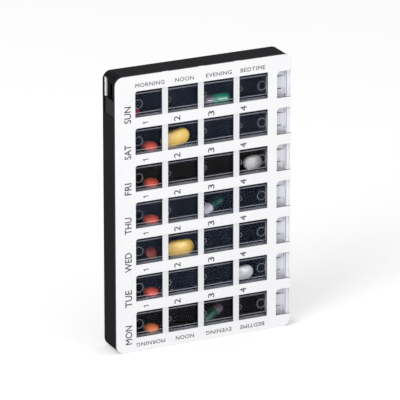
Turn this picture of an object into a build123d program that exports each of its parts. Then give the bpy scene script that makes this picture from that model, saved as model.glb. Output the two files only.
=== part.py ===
"""Weekly pill box: a case with seven pull-out day trays, each with four cells and a sliding clear lid.

Millimetres. The box stands on its short edge as in use on a shelf: +X to the right, the windows face -Y,
+Z up, origin at the middle of the bottom.
"""
import os
from math import cos, radians, sin, sqrt

from build123d import *

# Rows, one for each day, counted from the bottom
DAYS = ("monday", "tuesday", "wednesday", "thursday", "friday", "saturday", "sunday")
ROW_PITCH = 26.1
BOTTOM_SPACE = 6.15
TOP_SPACE = 7.15

# Columns, one for each time of day, counted from the left
COLUMNS = 4
COLUMN_PITCH = 26.5

# Case and cover walls
CORNER_RADIUS = 6.0
BACK_EDGE_RADIUS = 1.5
COVER_EDGE_RADIUS = 0.5
BACK_WALL = 1.6
COVER_THICK = 1.6
LEFT_WALL = 3.0
OUTER_WALL = 2.4
DIVIDER = 1.2

# Windows and thumb notches in the cover
WINDOW_HEIGHT = 18.5
WINDOW_RADIUS = 1.8
FIRST_WINDOW_INSET = 5.0
LAST_WINDOW_INSET = 2.7
BAR_WIDTH = 4.4
BAR_SHIFT = 0.7
BAR_RECESS = 0.8
NOTCH_LENGTH = 11.0
NOTCH_HEIGHT = 19.0
NOTCH_DROP = 0.8
NOTCH_RADIUS = 2.6

# Day trays
TRAY_DEPTH = 17.2
TRAY_FLOOR = 1.2
TRAY_SIDE_WALL = 1.1
CELL_WALL = 1.2
TRAY_END_WALL = 1.4
CELL_RADIUS = 1.5
TRAY_END_SETBACK = 1.5
GRIP_LENGTH = 11.9
GRIP_PLATE_DEPTH = 3.4
GRIP_PLATE_THICK = 1.2
CLICK_SLOT_LENGTH = 2.8
CLICK_SLOT_WIDTH = 0.9
CLICK_SLOT_SPACING = 7.8
CLICK_SLOT_INSET = 5.6
CLICK_SLOT_DROP = 0.9

# Clear lids
LID_THICK = 1.0
LID_DEPTH = 1.3
LID_GROOVE = 0.6
PANEL_HEIGHT = 13.5
PANEL_DROP = 0.2
PANEL_RAISE = 0.7
PANEL_LEFT_INSET = 1.0
PANEL_RIGHT_INSET = 3.2
TONGUE_WIDTH = 8.0
RIDGE_LENGTH = 12.8
RIDGE_THICK = 1.1
RIDGE_RAISE = 1.1
RIDGE_BALL = 1.9
BALL_SPACING = 15.0
LIP_END_SETBACK = 0.3
RING_HEIGHT = 0.25
RING_WIDTH = 0.3
RING_DROP = 0.5
END_RING = 6.4
CELL_RING = 3.6
FIRST_RING_INSET = 8.2
LAST_RING_INSET = 6.1
CELL_RING_OFFSET = 3.9

# Running clearances
TRAY_DEPTH_CLEARANCE = 0.3
ROW_CLEARANCE = 0.2
TRAY_STOP_CLEARANCE = 0.3
LID_CLEARANCE = 0.15
LID_SIDE_CLEARANCE = 0.15
LIP_CLEARANCE = 0.3
LOCK_CLEARANCE = 0.3

# Lock at the left side
RECESS_DEPTH = 1.8
RECESS_TOP_INSET = 3.4
RECESS_FRONT_INSET = 0.7
RECESS_BACK_INSET = 3.0
BLOCK_LENGTH = 11.0
LOCK_TRAVEL = 13.3
BLOCK_SETBACK = 0.2
BLOCK_GROOVES = 4
BLOCK_GROOVE_DEPTH = 0.25
BLOCK_GROOVE_INSET = 0.9
STEM_LENGTH = 5.0
STEM_WIDTH = 4.0
LOCK_BAR_THICK = 1.8
LOCK_BAR_FOOT_GAP = 1.2
LOCK_BAR_STOP_GAP = 0.45
RAIL_THICK = 1.0
RAIL_DEPTH = 4.4
INDICATOR_WIDTH = 1.7
INDICATOR_GAP = 0.7
HOOK_WIDTH = 4.6
HOOK_STEM = 3.0
HOOK_HEAD = 5.4
HOOK_HEAD_THICK = 1.1
HOOK_HEIGHT = 8.0
TOOTH_THICK = 1.3
TOOTH_ARM = 1.7
TOOTH_TRAY_GAP = 0.7
TOOTH_HEAD_GAP = 0.4
HEAD_BAR_GAP = 0.5

# Snap hooks of the cover, in the hollow at each end of the case
SNAP_PLACES = (-40.0, -10.0, 20.0, 45.0)
SNAP_WIDTH = 8.0
SNAP_THICK = 1.2
SNAP_LENGTH = 6.0
SNAP_BARB = 0.6
SNAP_BARB_LENGTH = 1.2
SNAP_GAP = 0.2

# Tablets and capsules
ROUND_TABLET = 11.0
ROUND_TABLET_THICK = 6.4
SMALL_TABLET = 8.2
SMALL_TABLET_THICK = 5.4
TABLET_RIM = 2.0
OBLONG_LENGTH = 20.5
OBLONG_WIDTH = 11.4
OBLONG_THICK = 6.6
OVAL_LENGTH = 13.4
OVAL_WIDTH = 9.8
OVAL_THICK = 6.0
CROWN_SHARE = 0.44
CAPSULE_CAP = 7.65
CAPSULE_BODY = 7.3
CAPSULE_CAP_LENGTH = 9.6
CAPSULE_BODY_LENGTH = 4.7
REST_GAP = 0.1

# Where the round tablets lie, as shares of the free room: across from the left wall, back from the lid
SMALL_TABLET_LEAN = 50.0
ROUND_PLACES = {
    "monday": (1.0, 0.0),
    "tuesday": (1.0, 0.0),
    "wednesday": (1.0, 0.8),
    "thursday": (1.0, 0.0),
    "friday": (1.0, 0.0),
    "saturday": (0.95, 0.0),
    "sunday": (0.0, 0.0),
}

# The same for the tablets that stand on an edge, then their tilt in degrees
OBLONG_COLUMN = 1
OBLONG_PLACES = {"wednesday": (0.94, 0.22, 0.0), "saturday": (0.12, 0.05, 13.0)}
OVAL_COLUMN = 3
OVAL_PLACES = {"tuesday": (0.43, 0.79, 3.0), "friday": (1.0, 0.85, 6.0)}

# The same for the capsules, then the piece at the right; one that reaches back also rises
CAPSULE_COLUMN = 2
CAPSULE_RISE = 15.0
CAPSULE_PLACES = {"monday": (0.55, 1.0, "body"), "thursday": (0.55, 1.0, "cap"), "sunday": (1.0, 0.0, "cap")}

# Overall sizes and places that follow from them
LEFT_SPACE = (
    LEFT_WALL
    + LOCK_CLEARANCE
    + LOCK_BAR_THICK
    + HEAD_BAR_GAP
    + HOOK_HEAD_THICK
    + TOOTH_HEAD_GAP
    + TOOTH_THICK
    + TOOTH_TRAY_GAP
    + TRAY_END_WALL / 2
)
RIGHT_SPACE = CELL_WALL / 2 + GRIP_LENGTH + CELL_WALL + TRAY_END_SETBACK
HEIGHT = BOTTOM_SPACE + len(DAYS) * ROW_PITCH + TOP_SPACE
CELLS_LENGTH = COLUMNS * COLUMN_PITCH
WIDTH = LEFT_SPACE + CELLS_LENGTH + RIGHT_SPACE
DEPTH = COVER_THICK + TRAY_DEPTH + 2 * TRAY_DEPTH_CLEARANCE + BACK_WALL
LEFT = -WIDTH / 2
RIGHT = WIDTH / 2
CELLS_LEFT = LEFT + LEFT_SPACE
CELLS_RIGHT = CELLS_LEFT + CELLS_LENGTH
FRONT = -DEPTH / 2
BACK = DEPTH / 2
COVER_BACK = FRONT + COVER_THICK
CASE_FLOOR = BACK - BACK_WALL
ROW_HEIGHTS = [BOTTOM_SPACE + ROW_PITCH * (row + 0.5) for row in range(len(DAYS))]
CHANNEL_HEIGHT = ROW_PITCH - DIVIDER

TRAY_FRONT = COVER_BACK + TRAY_DEPTH_CLEARANCE
TRAY_BACK = TRAY_FRONT + TRAY_DEPTH
TRAY_LEFT = CELLS_LEFT - TRAY_END_WALL / 2
TRAY_RIGHT = RIGHT - TRAY_END_SETBACK
TRAY_HEIGHT = CHANNEL_HEIGHT - 2 * ROW_CLEARANCE
CELL_HEIGHT = TRAY_HEIGHT - 2 * TRAY_SIDE_WALL
CELL_FLOOR = TRAY_BACK - TRAY_FLOOR
GRIP_LEFT = CELLS_RIGHT + CELL_WALL / 2
GRIP_RIGHT = TRAY_RIGHT - CELL_WALL
GRIP_PLATE_FRONT = TRAY_FRONT + GRIP_PLATE_DEPTH

LID_FRONT = TRAY_FRONT + LID_DEPTH
LID_BACK = LID_FRONT + LID_THICK
LID_LEFT = TRAY_LEFT + TRAY_END_WALL + LID_CLEARANCE
LID_RIGHT = GRIP_LEFT
LID_HEIGHT = CELL_HEIGHT + 2 * (LID_GROOVE - LID_SIDE_CLEARANCE)
PANEL_FRONT = LID_FRONT - PANEL_RAISE
PANEL_RIGHT = LID_RIGHT - PANEL_RIGHT_INSET
CELL_RIM = LID_BACK + LID_CLEARANCE

LOCK_SPACE_LEFT = LEFT + LEFT_WALL
BAR_LEFT = LOCK_SPACE_LEFT + LOCK_CLEARANCE
BAR_RIGHT = BAR_LEFT + LOCK_BAR_THICK
RAIL_LEFT = BAR_RIGHT + LOCK_CLEARANCE
RAIL_STOP = TRAY_LEFT - TRAY_STOP_CLEARANCE
RECESS_TOP = HEIGHT - RECESS_TOP_INSET
RECESS_BOTTOM = RECESS_TOP - BLOCK_LENGTH - LOCK_TRAVEL - 2 * LOCK_CLEARANCE
RECESS_FRONT = COVER_BACK + RECESS_FRONT_INSET
RECESS_BACK = BACK - RECESS_BACK_INSET
RECESS_FLOOR = LEFT + RECESS_DEPTH
INDICATOR_FRONT = RECESS_BACK - INDICATOR_WIDTH
BLOCK_BOTTOM = RECESS_BOTTOM + LOCK_CLEARANCE
BLOCK_TOP = BLOCK_BOTTOM + BLOCK_LENGTH
STEM_BOTTOM = (BLOCK_BOTTOM + BLOCK_TOP - STEM_LENGTH) / 2
STEM_TOP = STEM_BOTTOM + STEM_LENGTH
LOCK_BAR_TOP = HEIGHT - OUTER_WALL - LOCK_TRAVEL - LOCK_BAR_STOP_GAP
LOCK_BAR_BOTTOM = OUTER_WALL + LOCK_BAR_FOOT_GAP
TOOTH_RIGHT = TRAY_LEFT - TOOTH_TRAY_GAP
TOOTH_LEFT = TOOTH_RIGHT - TOOTH_THICK
HEAD_RIGHT = TOOTH_LEFT - TOOTH_HEAD_GAP
HEAD_LEFT = HEAD_RIGHT - HOOK_HEAD_THICK

os.makedirs("parts", exist_ok=True)


def facing(depth):
    """A plane across the box at a depth, drawn as seen from the front, that extrudes forwards."""
    return Plane.XZ.offset(-depth)


def block(low, high, mode=Mode.ADD):
    """A block between two corners, in the part that is being built."""
    middle = tuple((a + b) / 2 for a, b in zip(low, high))
    size = [b - a for a, b in zip(low, high)]
    with Locations(middle):
        return Box(*size, mode=mode)


def opening(left, right, middle, tall, radius):
    """A rectangle with a rounded corner at the top left alone, in the sketch that is being drawn."""
    across, long = (left + right) / 2, right - left
    with Locations((across, middle)):
        RectangleRounded(long, tall, radius)
    with Locations((across + radius / 2, middle)):
        Rectangle(long - radius, tall)
    with Locations((across, middle - radius / 2)):
        Rectangle(long, tall - radius)


def keep(part, name):
    """Label a finished piece and write it under its name."""
    part.label = name
    export_step(part, f"parts/{name}.step")


def cell_walls(column):
    """The inner faces of a cell's left and right walls."""
    left_wall = TRAY_END_WALL if column == 0 else CELL_WALL
    left = CELLS_LEFT + column * COLUMN_PITCH
    return left + left_wall / 2, left + COLUMN_PITCH - CELL_WALL / 2


def settled(low, high, size, share):
    """The middle of a thing that lies between two faces, at a share of its free room from the low one."""
    room = high - low - size - 2 * REST_GAP
    return low + REST_GAP + size / 2 + share * room


# Back case: shell with a channel for each tray, the lock's space at the left and a hollow at each end
with BuildPart() as back_case:
    with BuildSketch(facing(BACK)):
        with Locations((0, HEIGHT / 2)):
            RectangleRounded(WIDTH, HEIGHT, CORNER_RADIUS)
    extrude(amount=BACK - COVER_BACK)
    fillet(back_case.faces().sort_by(Axis.Y)[-1].edges(), BACK_EDGE_RADIUS)
    block(
        (LOCK_SPACE_LEFT, COVER_BACK, OUTER_WALL),
        (TRAY_LEFT, CASE_FLOOR, HEIGHT - OUTER_WALL),
        mode=Mode.SUBTRACT,
    )
    for height in ROW_HEIGHTS:
        block(
            (TRAY_LEFT, COVER_BACK, height - CHANNEL_HEIGHT / 2),
            (RIGHT, CASE_FLOOR, height + CHANNEL_HEIGHT / 2),
            mode=Mode.SUBTRACT,
        )
    row_reach = CHANNEL_HEIGHT / 2 + DIVIDER
    for low, high in (
        (OUTER_WALL, ROW_HEIGHTS[0] - row_reach),
        (ROW_HEIGHTS[-1] + row_reach, HEIGHT - OUTER_WALL),
    ):
        block((TRAY_LEFT, COVER_BACK, low), (RIGHT - OUTER_WALL, CASE_FLOOR, high), mode=Mode.SUBTRACT)

    # Thumb notches through the back wall
    with BuildSketch(facing(BACK)):
        for height in ROW_HEIGHTS:
            with Locations((RIGHT, height - NOTCH_DROP)):
                RectangleRounded(2 * NOTCH_LENGTH, NOTCH_HEIGHT, NOTCH_RADIUS)
    extrude(amount=BACK_WALL, mode=Mode.SUBTRACT)

    # Rail that guides the lock bar and stops the trays
    block((RAIL_LEFT, CASE_FLOOR - RAIL_DEPTH, OUTER_WALL), (RAIL_STOP, CASE_FLOOR, HEIGHT - OUTER_WALL))

    # Opening for the thumb block in the left wall, and the slot for its stem
    block(
        (LEFT, RECESS_FRONT, RECESS_BOTTOM),
        (RECESS_FLOOR, RECESS_BACK, RECESS_TOP),
        mode=Mode.SUBTRACT,
    )
    block(
        (RECESS_FLOOR, -STEM_WIDTH / 2 - LOCK_CLEARANCE, STEM_BOTTOM - LOCK_CLEARANCE),
        (LOCK_SPACE_LEFT, STEM_WIDTH / 2 + LOCK_CLEARANCE, STEM_TOP + LOCK_TRAVEL + LOCK_CLEARANCE),
        mode=Mode.SUBTRACT,
    )

    # Pockets in the end walls for the cover's snap hooks
    for place in SNAP_PLACES:
        barb_front = COVER_BACK + SNAP_LENGTH - SNAP_BARB_LENGTH - SNAP_GAP
        for low, high in (
            (OUTER_WALL - SNAP_BARB - SNAP_GAP, OUTER_WALL),
            (HEIGHT - OUTER_WALL, HEIGHT - OUTER_WALL + SNAP_BARB + SNAP_GAP),
        ):
            block(
                (place - SNAP_WIDTH / 2 - SNAP_GAP, barb_front, low),
                (place + SNAP_WIDTH / 2 + SNAP_GAP, COVER_BACK + SNAP_LENGTH + SNAP_GAP, high),
                mode=Mode.SUBTRACT,
            )
keep(back_case.part, "back_case")

# Front cover: plate with a long slot for each row, three recessed bars across it and the thumb notches
with BuildPart() as front_cover:
    with BuildSketch(facing(COVER_BACK)):
        with Locations((0, HEIGHT / 2)):
            RectangleRounded(WIDTH, HEIGHT, CORNER_RADIUS)
    extrude(amount=COVER_THICK)
    fillet(front_cover.faces().sort_by(Axis.Y)[0].edges(), COVER_EDGE_RADIUS)
    slot_left = CELLS_LEFT + FIRST_WINDOW_INSET
    slot_right = CELLS_RIGHT - LAST_WINDOW_INSET
    with BuildSketch(facing(COVER_BACK)):
        for height in ROW_HEIGHTS:
            opening(slot_left, slot_right, height, WINDOW_HEIGHT, WINDOW_RADIUS)
            notch_left, notch_right = RIGHT - NOTCH_LENGTH, RIGHT + NOTCH_LENGTH
            opening(notch_left, notch_right, height - NOTCH_DROP, NOTCH_HEIGHT, NOTCH_RADIUS)
    extrude(amount=COVER_THICK, mode=Mode.SUBTRACT)
    with BuildSketch(facing(COVER_BACK)):
        for height in ROW_HEIGHTS:
            for column in range(1, COLUMNS):
                with Locations((CELLS_LEFT + column * COLUMN_PITCH + BAR_SHIFT, height)):
                    Rectangle(BAR_WIDTH, WINDOW_HEIGHT)
    extrude(amount=COVER_THICK - BAR_RECESS)
keep(front_cover.part, "front_cover")

# Rail on the cover's inner face that guides the lock bar
with BuildPart() as cover_rail:
    block(
        (RAIL_LEFT, COVER_BACK, OUTER_WALL + RAIL_DEPTH),
        (RAIL_LEFT + RAIL_THICK, COVER_BACK + RAIL_DEPTH, HEIGHT - OUTER_WALL - RAIL_DEPTH),
    )
keep(cover_rail.part, "cover_rail")

# Snap hooks on the cover's inner face, along the bottom and the top
with BuildPart() as cover_hooks:
    for place in SNAP_PLACES:
        for wall, inwards in ((OUTER_WALL, 1), (HEIGHT - OUTER_WALL, -1)):
            near = wall + inwards * SNAP_GAP
            far = near + inwards * SNAP_THICK
            block(
                (place - SNAP_WIDTH / 2, COVER_BACK, min(near, far)),
                (place + SNAP_WIDTH / 2, COVER_BACK + SNAP_LENGTH, max(near, far)),
            )
            barb = wall - inwards * SNAP_BARB
            block(
                (place - SNAP_WIDTH / 2, COVER_BACK + SNAP_LENGTH - SNAP_BARB_LENGTH, min(barb, near)),
                (place + SNAP_WIDTH / 2, COVER_BACK + SNAP_LENGTH, max(barb, near)),
            )
keep(cover_hooks.part, "cover_hooks")

# White strip at the back of the opening, above the thumb block when it is down
with BuildPart() as lock_indicator:
    block(
        (LEFT + INDICATOR_GAP, INDICATOR_FRONT, BLOCK_TOP + LOCK_CLEARANCE),
        (RECESS_FLOOR, RECESS_BACK, RECESS_TOP),
    )
keep(lock_indicator.part, "lock_indicator")

# Thumb block with grooves across it and a stem through the wall
with BuildPart() as lock_grip:
    block_left = LEFT + BLOCK_SETBACK
    block_front = RECESS_FRONT + LOCK_CLEARANCE
    block_back = INDICATOR_FRONT - LOCK_CLEARANCE
    block(
        (block_left, block_front, BLOCK_BOTTOM),
        (RECESS_FLOOR - LOCK_CLEARANCE, block_back, BLOCK_TOP),
    )
    outer_face = lock_grip.faces().sort_by(Axis.X)[0]
    fillet(outer_face.edges(), BLOCK_GROOVE_DEPTH)
    for groove in range(BLOCK_GROOVES):
        level = BLOCK_BOTTOM + BLOCK_LENGTH * (groove + 1) / (BLOCK_GROOVES + 1)
        block(
            (block_left, block_front + BLOCK_GROOVE_INSET, level - BLOCK_GROOVE_DEPTH),
            (block_left + BLOCK_GROOVE_DEPTH, block_back - BLOCK_GROOVE_INSET, level + BLOCK_GROOVE_DEPTH),
            mode=Mode.SUBTRACT,
        )
    block(
        (RECESS_FLOOR - LOCK_CLEARANCE, -STEM_WIDTH / 2, STEM_BOTTOM),
        (BAR_RIGHT, STEM_WIDTH / 2, STEM_TOP),
    )
keep(lock_grip.part, "lock_grip")

# Lock bar: long slide behind the left wall, seated on the thumb block's stem
with BuildPart() as lock_bar:
    block(
        (BAR_LEFT, COVER_BACK + LOCK_CLEARANCE, LOCK_BAR_BOTTOM),
        (BAR_RIGHT, CASE_FLOOR - LOCK_CLEARANCE, LOCK_BAR_TOP),
    )
    block(
        (BAR_LEFT, -STEM_WIDTH / 2, STEM_BOTTOM),
        (BAR_RIGHT, STEM_WIDTH / 2, STEM_TOP),
        mode=Mode.SUBTRACT,
    )
keep(lock_bar.part, "lock_bar")

# Angled teeth on the bar, one below each tray's catch
with BuildPart() as lock_teeth:
    for height in ROW_HEIGHTS:
        head_bottom = height + HOOK_HEIGHT - HOOK_HEAD
        arm_top = head_bottom - TOOTH_HEAD_GAP - LOCK_TRAVEL
        tooth_top = height + HOOK_HEIGHT - HOOK_STEM - LOCK_CLEARANCE - LOCK_TRAVEL
        block(
            (BAR_RIGHT, -HOOK_WIDTH / 2, arm_top - TOOTH_ARM),
            (TOOTH_RIGHT, HOOK_WIDTH / 2, arm_top),
        )
        block(
            (TOOTH_LEFT, -HOOK_WIDTH / 2, arm_top),
            (TOOTH_RIGHT, HOOK_WIDTH / 2, tooth_top),
        )
keep(lock_teeth.part, "lock_teeth")

# Day trays: four cells, a grip end that is open to the back and grooves for the lid
for day, height in zip(DAYS, ROW_HEIGHTS):
    with BuildPart() as tray:
        block(
            (TRAY_LEFT, TRAY_FRONT, height - TRAY_HEIGHT / 2),
            (TRAY_RIGHT, TRAY_BACK, height + TRAY_HEIGHT / 2),
        )
        with BuildSketch(facing(CELL_FLOOR)):
            for column in range(COLUMNS):
                left, right = cell_walls(column)
                with Locations(((left + right) / 2, height)):
                    RectangleRounded(right - left, CELL_HEIGHT, CELL_RADIUS)
        extrude(amount=CELL_FLOOR - CELL_RIM, mode=Mode.SUBTRACT)
        block(
            (TRAY_LEFT + TRAY_END_WALL, LID_FRONT - LID_CLEARANCE, height - CELL_HEIGHT / 2 - LID_GROOVE),
            (TRAY_RIGHT, CELL_RIM, height + CELL_HEIGHT / 2 + LID_GROOVE),
            mode=Mode.SUBTRACT,
        )
        block(
            (TRAY_LEFT + TRAY_END_WALL, TRAY_FRONT, height - CELL_HEIGHT / 2),
            (TRAY_RIGHT, LID_FRONT, height + CELL_HEIGHT / 2),
            mode=Mode.SUBTRACT,
        )
        block(
            (GRIP_LEFT, LID_FRONT, height - CELL_HEIGHT / 2),
            (TRAY_RIGHT, GRIP_PLATE_FRONT, height + CELL_HEIGHT / 2),
            mode=Mode.SUBTRACT,
        )
        block(
            (GRIP_LEFT, GRIP_PLATE_FRONT + GRIP_PLATE_THICK, height - CELL_HEIGHT / 2),
            (GRIP_RIGHT, TRAY_BACK, height + CELL_HEIGHT / 2),
            mode=Mode.SUBTRACT,
        )
        for side in (-1, 1):
            slot_height = height - CLICK_SLOT_DROP + side * CLICK_SLOT_SPACING / 2
            slot_middle = TRAY_RIGHT - CLICK_SLOT_INSET
            block(
                (slot_middle - CLICK_SLOT_LENGTH / 2, GRIP_PLATE_FRONT, slot_height - CLICK_SLOT_WIDTH / 2),
                (
                    slot_middle + CLICK_SLOT_LENGTH / 2,
                    GRIP_PLATE_FRONT + GRIP_PLATE_THICK,
                    slot_height + CLICK_SLOT_WIDTH / 2,
                ),
                mode=Mode.SUBTRACT,
            )
    keep(tray.part, f"tray_{day}")

# Catches on the trays' left ends: a stem with a head that hangs down in front of the lock bar
for day, height in zip(DAYS, ROW_HEIGHTS):
    stem_top = height + HOOK_HEIGHT
    with BuildPart() as tray_catch:
        block((HEAD_RIGHT, -HOOK_WIDTH / 2, stem_top - HOOK_STEM), (TRAY_LEFT, HOOK_WIDTH / 2, stem_top))
        block((HEAD_LEFT, -HOOK_WIDTH / 2, stem_top - HOOK_HEAD), (HEAD_RIGHT, HOOK_WIDTH / 2, stem_top))
    keep(tray_catch.part, f"tray_catch_{day}")

# Lids: clear plate with a raised panel and moulded rings, and a tongue with a ridge and a lip to pull
for day, height in zip(DAYS, ROW_HEIGHTS):
    with BuildPart() as lid:
        block(
            (LID_LEFT, LID_FRONT, height - LID_HEIGHT / 2),
            (LID_RIGHT, LID_BACK, height + LID_HEIGHT / 2),
        )
        block(
            (LID_LEFT + PANEL_LEFT_INSET, PANEL_FRONT, height - PANEL_DROP - PANEL_HEIGHT / 2),
            (PANEL_RIGHT, LID_FRONT, height - PANEL_DROP + PANEL_HEIGHT / 2),
        )
        ridge_right = GRIP_RIGHT
        ridge_left = ridge_right - RIDGE_THICK
        block(
            (PANEL_RIGHT, PANEL_FRONT, height - TONGUE_WIDTH / 2),
            (ridge_right, LID_BACK, height + TONGUE_WIDTH / 2),
        )
        for front, length in ((PANEL_FRONT, BALL_SPACING), (PANEL_FRONT - RIDGE_RAISE, RIDGE_LENGTH)):
            block((ridge_left, front, height - length / 2), (ridge_right, LID_BACK, height + length / 2))
        lip_middle = height - NOTCH_DROP
        lip_reach = NOTCH_HEIGHT / 2 - LIP_CLEARANCE
        block(
            (ridge_right, PANEL_FRONT - RIDGE_RAISE, lip_middle - lip_reach),
            (RIGHT - LIP_END_SETBACK, LID_BACK, lip_middle + lip_reach),
        )
        for side in (-1, 1):
            with Locations(((ridge_left + ridge_right) / 2, PANEL_FRONT, height + side * BALL_SPACING / 2)):
                Cylinder(RIDGE_BALL / 2, 2 * RIDGE_RAISE, rotation=(90, 0, 0))
        with BuildSketch(facing(PANEL_FRONT)):
            end_rings = (CELLS_LEFT + FIRST_RING_INSET, CELLS_RIGHT - LAST_RING_INSET)
            cell_rings = [CELLS_LEFT + c * COLUMN_PITCH + CELL_RING_OFFSET for c in range(1, COLUMNS)]
            for places, diameter in ((end_rings, END_RING), (cell_rings, CELL_RING)):
                for place in places:
                    with Locations((place, height - RING_DROP)):
                        Circle(diameter / 2)
                        Circle(diameter / 2 - RING_WIDTH, mode=Mode.SUBTRACT)
        extrude(amount=RING_HEIGHT)
    keep(lid.part, f"lid_{day}")


def cell_floor(day):
    """The top of a cell's lower wall, where tablets come to lie when the box stands."""
    return ROW_HEIGHTS[DAYS.index(day)] - CELL_HEIGHT / 2 + REST_GAP


# Round tablets in the first column, lying flat but for the small one, which leans on its rim
for day, (across, back) in ROUND_PLACES.items():
    small = day == "wednesday"
    diameter, thick = (SMALL_TABLET, SMALL_TABLET_THICK) if small else (ROUND_TABLET, ROUND_TABLET_THICK)
    slope = radians(SMALL_TABLET_LEAN if small else 0)
    half_height = max(thick / 2, diameter / 2 * sin(slope) + TABLET_RIM / 2 * cos(slope))
    reach = diameter * cos(slope) + TABLET_RIM * sin(slope)
    middle = (
        settled(*cell_walls(0), diameter, across),
        settled(LID_BACK, CELL_FLOOR, reach, back),
        cell_floor(day) + half_height,
    )
    crown = (thick - TABLET_RIM) / 2
    crown_radius = ((diameter / 2) ** 2 + crown**2) / (2 * crown)
    with BuildPart(Plane(middle, x_dir=(1, 0, 0), z_dir=(0, -sin(slope), cos(slope)))) as round_tablet:
        Cylinder(diameter / 2, thick)
        for side in (-1, 1):
            with Locations((0, 0, side * (thick / 2 - crown_radius))):
                Sphere(crown_radius, mode=Mode.INTERSECT)
    keep(round_tablet.part, f"round_tablet_{day}")

# Oblong and oval tablets, standing on an edge and facing forwards
oblong = ("oblong_tablet", OBLONG_COLUMN, OBLONG_PLACES, OBLONG_LENGTH, OBLONG_WIDTH, OBLONG_THICK)
oval = ("oval_tablet", OVAL_COLUMN, OVAL_PLACES, OVAL_LENGTH, OVAL_WIDTH, OVAL_THICK)
for kind, column, places, length, width, thick in (oblong, oval):
    for day, (across, back, tilt) in places.items():
        slope = radians(tilt)
        straight = length - width
        middle = (
            settled(*cell_walls(column), straight * cos(slope) + width, across),
            settled(LID_BACK, CELL_FLOOR, thick, back),
            cell_floor(day) + (straight * sin(slope) + width) / 2,
        )
        with BuildPart() as standing_tablet:
            with BuildSketch(Plane(middle, x_dir=(cos(slope), 0, sin(slope)), z_dir=(0, -1, 0))):
                SlotOverall(length, width)
            extrude(amount=thick / 2, both=True)
            rims = standing_tablet.faces().filter_by(Axis.Y).edges()
            fillet(rims, CROWN_SHARE * thick)
        keep(standing_tablet.part, f"{kind}_{day}")

# Two-piece capsules: one along the lid, the others from the lid at the left to the cell's floor at the right
halves = {"cap": (CAPSULE_CAP, CAPSULE_CAP_LENGTH), "body": (CAPSULE_BODY, CAPSULE_BODY_LENGTH)}
straight = CAPSULE_CAP_LENGTH + CAPSULE_BODY_LENGTH
rounds = (CAPSULE_CAP + CAPSULE_BODY) / 2
for day, (across, back, right_piece) in CAPSULE_PLACES.items():
    left_piece = "body" if right_piece == "cap" else "cap"
    rise = radians(CAPSULE_RISE * back)
    inwards = back * (CELL_FLOOR - LID_BACK - CAPSULE_CAP - 2 * REST_GAP)
    way = Vector(sqrt((straight * cos(rise)) ** 2 - inwards**2), inwards, straight * sin(rise)) / straight
    left_diameter, left_length = halves[left_piece]
    left_end = Vector(
        settled(*cell_walls(CAPSULE_COLUMN), straight * way.X + rounds, across)
        + (left_diameter - rounds - straight * way.X) / 2,
        LID_BACK + REST_GAP + CAPSULE_CAP / 2,
        cell_floor(day) + CAPSULE_CAP / 2,
    )
    joint = left_end + way * left_length
    for piece, side in ((left_piece, -1), (right_piece, 1)):
        diameter, length = halves[piece]
        with BuildPart(Plane(joint, z_dir=way)) as capsule_half:
            with Locations((0, 0, side * length / 2)):
                Cylinder(diameter / 2, length)
            with Locations((0, 0, side * length)):
                Sphere(diameter / 2)
        keep(capsule_half.part, f"capsule_{piece}_{day}")
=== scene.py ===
"""Weekly pill box: the looks of its case, cover, lock slide, day trays, lids, doses, print and raised dots.

The frame is in metres: the box stands on its short edge, +X to the right, its windows facing -Y, +Z up. Most
sizes in the classes are in millimetres, as their docstrings say.
"""
import logging
from dataclasses import dataclass
from enum import Enum
from functools import reduce
from math import cos, pi, radians, sin

import bpy
import numpy as np
from mathutils import Matrix, Vector


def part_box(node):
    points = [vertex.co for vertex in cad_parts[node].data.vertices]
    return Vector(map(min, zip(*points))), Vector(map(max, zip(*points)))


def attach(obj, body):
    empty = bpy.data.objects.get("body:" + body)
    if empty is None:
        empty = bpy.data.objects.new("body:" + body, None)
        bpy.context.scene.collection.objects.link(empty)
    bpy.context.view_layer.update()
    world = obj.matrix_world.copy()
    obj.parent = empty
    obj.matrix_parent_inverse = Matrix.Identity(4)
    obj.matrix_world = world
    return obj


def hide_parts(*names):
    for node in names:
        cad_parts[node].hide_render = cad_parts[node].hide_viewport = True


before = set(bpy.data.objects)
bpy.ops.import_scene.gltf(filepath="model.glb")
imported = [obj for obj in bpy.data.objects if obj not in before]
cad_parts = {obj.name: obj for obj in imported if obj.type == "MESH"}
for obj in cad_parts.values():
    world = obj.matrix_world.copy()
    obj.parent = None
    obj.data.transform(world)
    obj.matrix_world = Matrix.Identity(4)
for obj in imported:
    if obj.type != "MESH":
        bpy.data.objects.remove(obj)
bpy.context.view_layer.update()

MM = 0.001
FINE, SOFT, WIDE = 0.05 * MM, 0.1 * MM, 0.2 * MM  # how wide the ramp at a mask's edge is
WELD_REACH = 0.0005 * MM
SMOOTHED_ANGLE, SOFTENED_ANGLE = radians(35), radians(40)
SOFTENED_STEPS = 2
UPWARDS = 90.0  # how many degrees a word is turned to read upwards
LOG = logging.getLogger("weekly_pill_box")

Colour = tuple[float, float, float]
Place = tuple[float, float, float]
Material = bpy.types.Material
Socket = bpy.types.NodeSocket
WHITE: Colour = (1.0, 1.0, 1.0)


class Day(Enum):
    """A day's row, with the name printed beside it as its value."""

    MONDAY = "MON"
    TUESDAY = "TUE"
    WEDNESDAY = "WED"
    THURSDAY = "THU"
    FRIDAY = "FRI"
    SATURDAY = "SAT"
    SUNDAY = "SUN"

    @property
    def node(self) -> str:
        """The day as the names of nodes and bodies spell it."""
        return self.name.lower()

    @property
    def height(self) -> float:
        """The height of the row's middle, in metres."""
        low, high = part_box(f"tray_{self.node}")
        return (low.z + high.z) / 2

    @classmethod
    def numbered(cls) -> list["Day"]:
        """The days whose rows have the cells' numbers under them: all but the lowest."""
        return [day for day in cls if day is not cls.MONDAY]


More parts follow.
